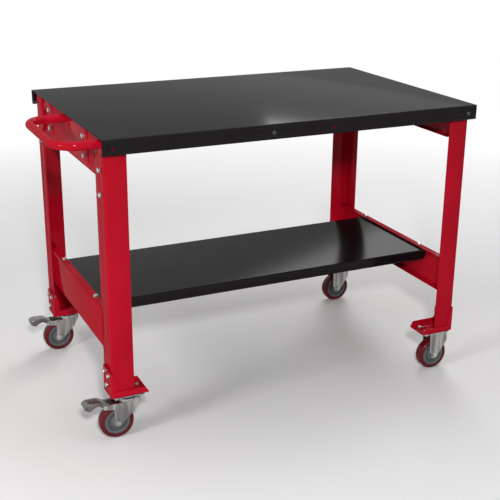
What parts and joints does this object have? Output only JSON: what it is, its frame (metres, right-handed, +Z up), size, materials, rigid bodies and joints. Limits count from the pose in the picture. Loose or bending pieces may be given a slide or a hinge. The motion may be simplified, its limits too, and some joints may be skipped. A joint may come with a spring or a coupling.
{
  "type": "mobile workbench",
  "caption": "Mobile steel workbench: folded worktop on a bolted frame with lower shelf, end push handle, braked swivel casters at one end and fixed casters at the other.",
  "frame": {"origin": "on the floor, under the middle of the bench's whole box, handle included", "axes": "+X along the bench away from the push handle, +Y to the back, +Z up"},
  "size_m": [1.3208, 0.78, 0.908],
  "materials": {
    "frame_red": "semi-gloss powder coat",
    "sheet_black": "gloss powder coat",
    "zinc_steel": "bright zinc plate",
    "wheel_plastic": "satin moulded",
    "tyre_red": "glossy polyurethane"
  },
  "bodies": {
    "bench": {"worktop_panel": "sheet_black", "rib_left": "frame_red", "rib_right": "frame_red", "bearer_front": "frame_red", "bearer_back": "frame_red", "leg_front_left": "frame_red", "leg_back_left": "frame_red", "leg_front_right": "frame_red", "leg_back_right": "frame_red", "end_plate_left": "frame_red", "end_plate_right": "frame_red", "push_handle": "frame_red", "handle_fixings": "zinc_steel", "lower_rail_left": "frame_red", "lower_rail_right": "frame_red", "shelf_panel": "sheet_black", "shelf_stiffener": "sheet_black", "shoe_front_left": "frame_red", "shoe_back_left": "frame_red", "shoe_front_right": "frame_red", "shoe_back_right": "frame_red", "bearer_bolts": "zinc_steel", "leg_bolts": "zinc_steel", "shelf_bolts": "zinc_steel", "shoe_bolts": "zinc_steel", "caster_bolts": "zinc_steel", "skirt_screws": "sheet_black", "fl_top_plate": "zinc_steel", "fl_ball_ring": "zinc_steel", "fl_king_pin": "zinc_steel", "bl_top_plate": "zinc_steel", "bl_ball_ring": "zinc_steel", "bl_king_pin": "zinc_steel", "fr_fork": "zinc_steel", "fr_axle_bolt": "zinc_steel", "br_fork": "zinc_steel", "br_axle_bolt": "zinc_steel"},
    "fl_swivel": {"fl_fork": "zinc_steel", "fl_axle_bolt": "zinc_steel", "fl_pedal_pin": "zinc_steel"},
    "fl_pedal_lever": {"fl_pedal": "zinc_steel", "fl_brake_shoe": "zinc_steel"},
    "fl_wheel": {"fl_tyre": "tyre_red", "fl_wheel_centre": "wheel_plastic", "fl_sleeve": "zinc_steel"},
    "bl_swivel": {"bl_fork": "zinc_steel", "bl_axle_bolt": "zinc_steel", "bl_pedal_pin": "zinc_steel"},
    "bl_pedal_lever": {"bl_pedal": "zinc_steel", "bl_brake_shoe": "zinc_steel"},
    "bl_wheel": {"bl_tyre": "tyre_red", "bl_wheel_centre": "wheel_plastic", "bl_sleeve": "zinc_steel"},
    "fr_wheel": {"fr_tyre": "tyre_red", "fr_wheel_centre": "wheel_plastic", "fr_sleeve": "zinc_steel"},
    "br_wheel": {"br_tyre": "tyre_red", "br_wheel_centre": "wheel_plastic", "br_sleeve": "zinc_steel"}
  },
  "joints": [
    {"name": "fl_swivel_turn", "type": "hinge", "parent": "bench", "child": "fl_swivel", "pos_m": [-0.4819, -0.32799, 0.123], "axis": [0, 0, 1], "continuous": true},
    {"name": "fl_wheel_roll", "type": "hinge", "parent": "fl_swivel", "child": "fl_wheel", "pos_m": [-0.5169, -0.32799, 0.052], "axis": [0, 1, 0], "continuous": true},
    {"name": "fl_pedal_press", "type": "hinge", "parent": "fl_swivel", "child": "fl_pedal_lever", "pos_m": [-0.5479, -0.32799, 0.108], "axis": [0, 1, 0], "range_deg": [-18, 0]},
    {"name": "bl_swivel_turn", "type": "hinge", "parent": "bench", "child": "bl_swivel", "pos_m": [-0.4819, 0.32799, 0.123], "axis": [0, 0, 1], "continuous": true},
    {"name": "bl_wheel_roll", "type": "hinge", "parent": "bl_swivel", "child": "bl_wheel", "pos_m": [-0.5169, 0.32799, 0.052], "axis": [0, 1, 0], "continuous": true},
    {"name": "bl_pedal_press", "type": "hinge", "parent": "bl_swivel", "child": "bl_pedal_lever", "pos_m": [-0.5479, 0.32799, 0.108], "axis": [0, 1, 0], "range_deg": [-18, 0]},
    {"name": "fr_wheel_roll", "type": "hinge", "parent": "bench", "child": "fr_wheel", "pos_m": [0.5981, -0.32799, 0.052], "axis": [0, 1, 0], "continuous": true},
    {"name": "br_wheel_roll", "type": "hinge", "parent": "bench", "child": "br_wheel", "pos_m": [0.5981, 0.32799, 0.052], "axis": [0, 1, 0], "continuous": true}
  ]
}
